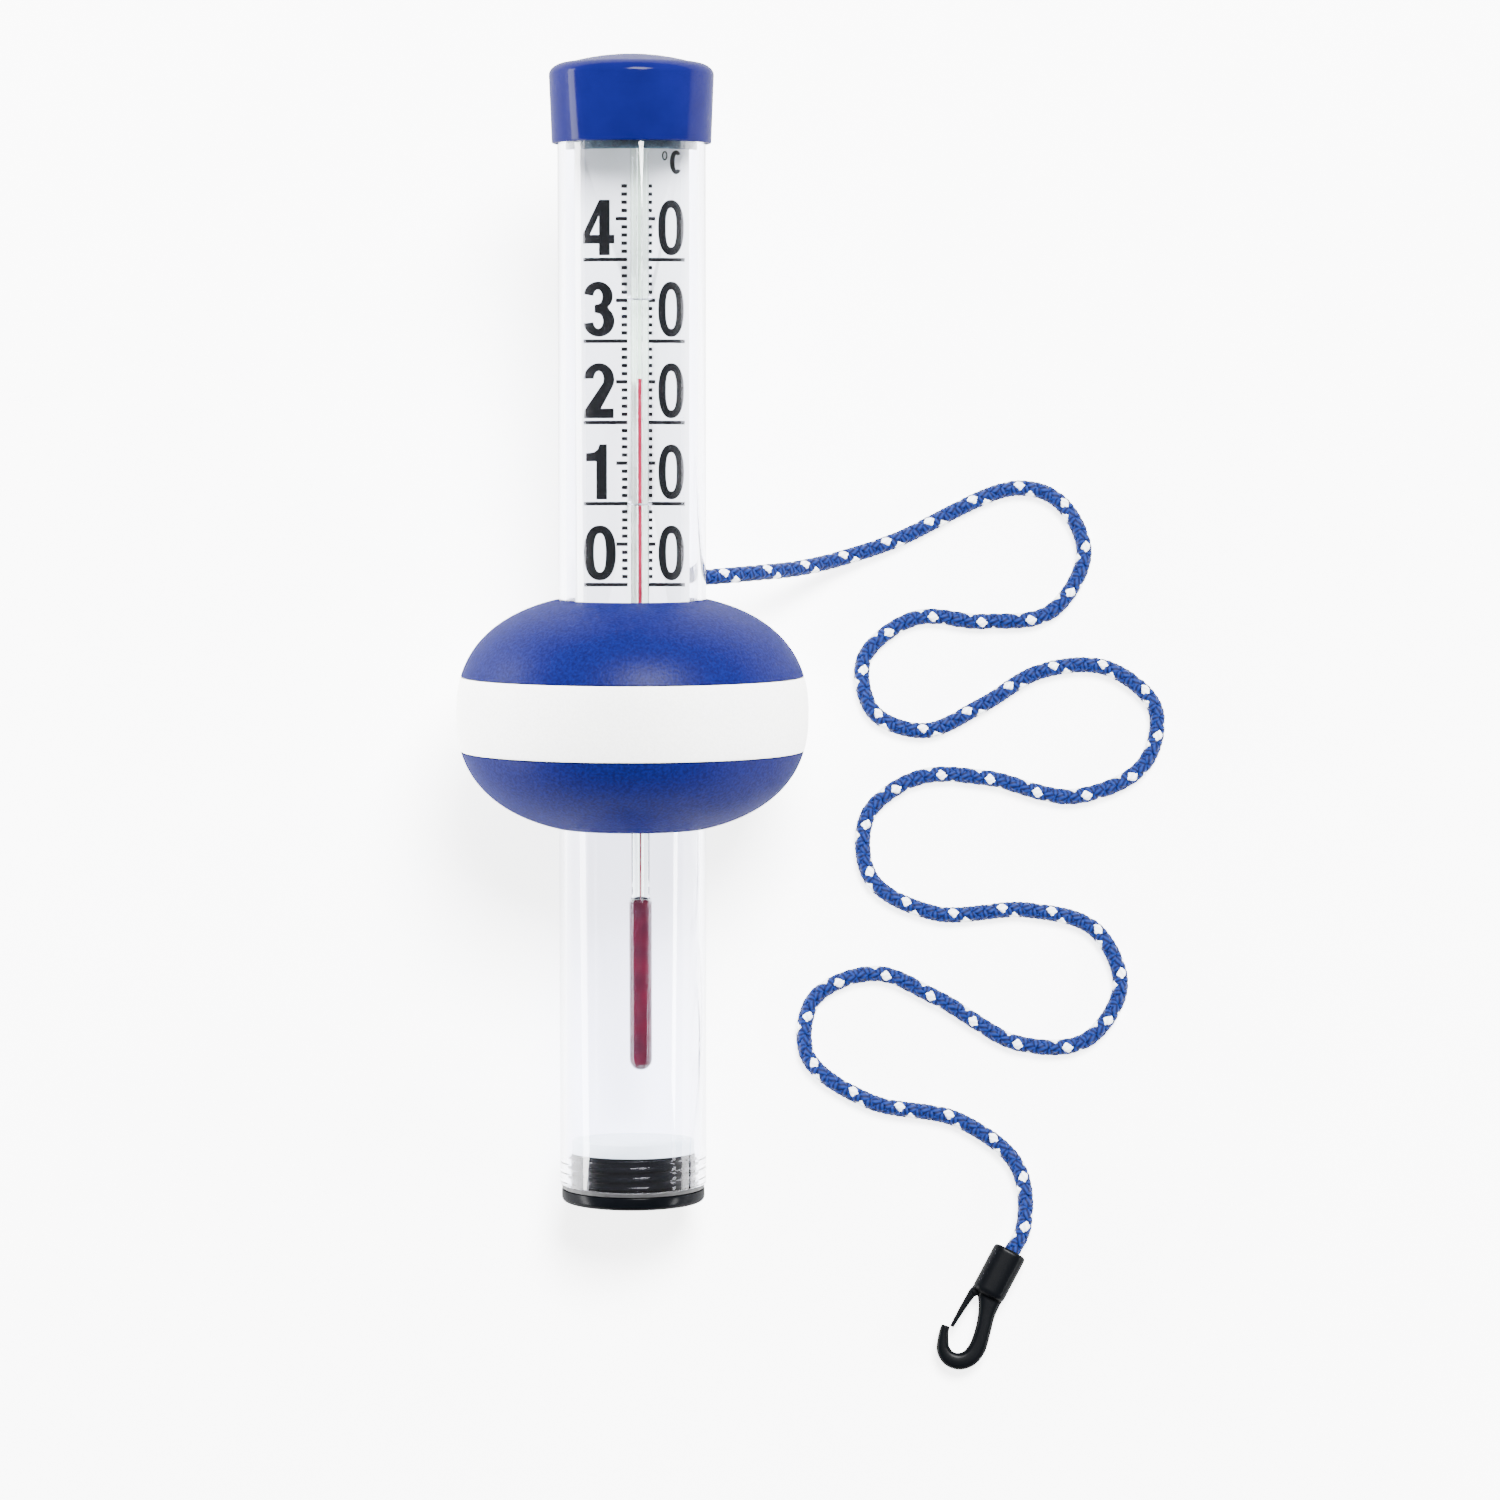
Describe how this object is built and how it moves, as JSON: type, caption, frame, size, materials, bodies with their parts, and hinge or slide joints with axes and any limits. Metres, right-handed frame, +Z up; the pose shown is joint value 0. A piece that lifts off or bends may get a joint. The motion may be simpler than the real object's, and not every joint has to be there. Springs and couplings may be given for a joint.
{
  "type": "floating pool thermometer",
  "caption": "Clear-tube spirit thermometer in a round blue and white float, with a push-on cap, a weighted screw plug, and a braided rope that ends in a snap hook.",
  "frame": {"origin": "on the floor, below the middle of the thermometer's own box, rope and hook left out", "axes": "+Z up, +Y towards the cap's end along the floor, +X towards the side where the rope lies"},
  "size_m": [0.2208, 0.3961, 0.1202],
  "materials": {
    "clear_tube": "polished clear acrylic",
    "blue_gloss": "glossy royal blue moulding",
    "blue_grained": "fine spark-eroded grain, royal blue",
    "white_grained": "fine spark-eroded grain, white",
    "black_gloss": "glossy black moulding",
    "black_rubber": "soft black seal rubber",
    "zinc_steel": "zinc-plated",
    "white_plate": "satin white sheet, printed scale",
    "dark_foam": "dark foam rubber",
    "clear_glass": "drawn clear glass",
    "red_spirit": "red dyed spirit",
    "tie_wire": "thin bright wire",
    "blue_rope": "braided, royal blue with white flecks"
  },
  "bodies": {
    "thermometer": {"outer_tube": "clear_tube", "float_upper_shell": "blue_grained", "float_lower_shell": "blue_grained", "float_band": "white_grained", "float_seal_upper": "black_rubber", "float_seal_lower": "black_rubber", "scale_plate": "white_plate", "upper_holder": "dark_foam", "lower_holder": "dark_foam", "stem_tie_upper": "tie_wire", "stem_tie_lower": "tie_wire", "glass_stem": "clear_glass", "spirit_reservoir": "red_spirit", "spirit_thread": "red_spirit", "rope": "blue_rope", "lug_knot": "blue_rope", "hook_knot": "blue_rope", "hook_body": "black_gloss"},
    "cap": {"top_cap": "blue_gloss", "cap_gasket": "black_rubber"},
    "plug_carriage": {"plug_gasket": "black_rubber"},
    "plug": {"bottom_plug": "black_gloss", "ballast_weight": "zinc_steel"},
    "column": {"spirit_column": "red_spirit"},
    "gate": {"hook_gate": "black_gloss"}
  },
  "joints": [
    {"name": "cap_pull", "type": "slide", "parent": "thermometer", "child": "cap", "axis": [0, 0.9761, 0.2173], "range_m": [0, 0.02]},
    {"name": "plug_travel", "type": "slide", "parent": "thermometer", "child": "plug_carriage", "axis": [0, -0.9761, -0.2173], "range_m": [0, 0.0106]},
    {"name": "plug_turn", "type": "hinge", "parent": "plug_carriage", "child": "plug", "pos_m": [0, -0.17001, 0.0211], "axis": [0, -0.9761, -0.2173], "range_deg": [0, 1260]},
    {"name": "temperature", "type": "slide", "parent": "thermometer", "child": "column", "axis": [0, 0.9761, 0.2173], "range_m": [-0.0621, 0.0602]},
    {"name": "gate_spring", "type": "hinge", "parent": "thermometer", "child": "gate", "pos_m": [0.10477, -0.19806, 0.0049], "axis": [0, 0, 1], "range_deg": [0, 20], "stiffness_Nm_per_rad": 0.004, "springref_deg": -5.73}
  ],
  "couplings": [
    {"joint": "plug_travel", "follows": "plug_turn", "m_per_rad": 0.00047746}
  ]
}
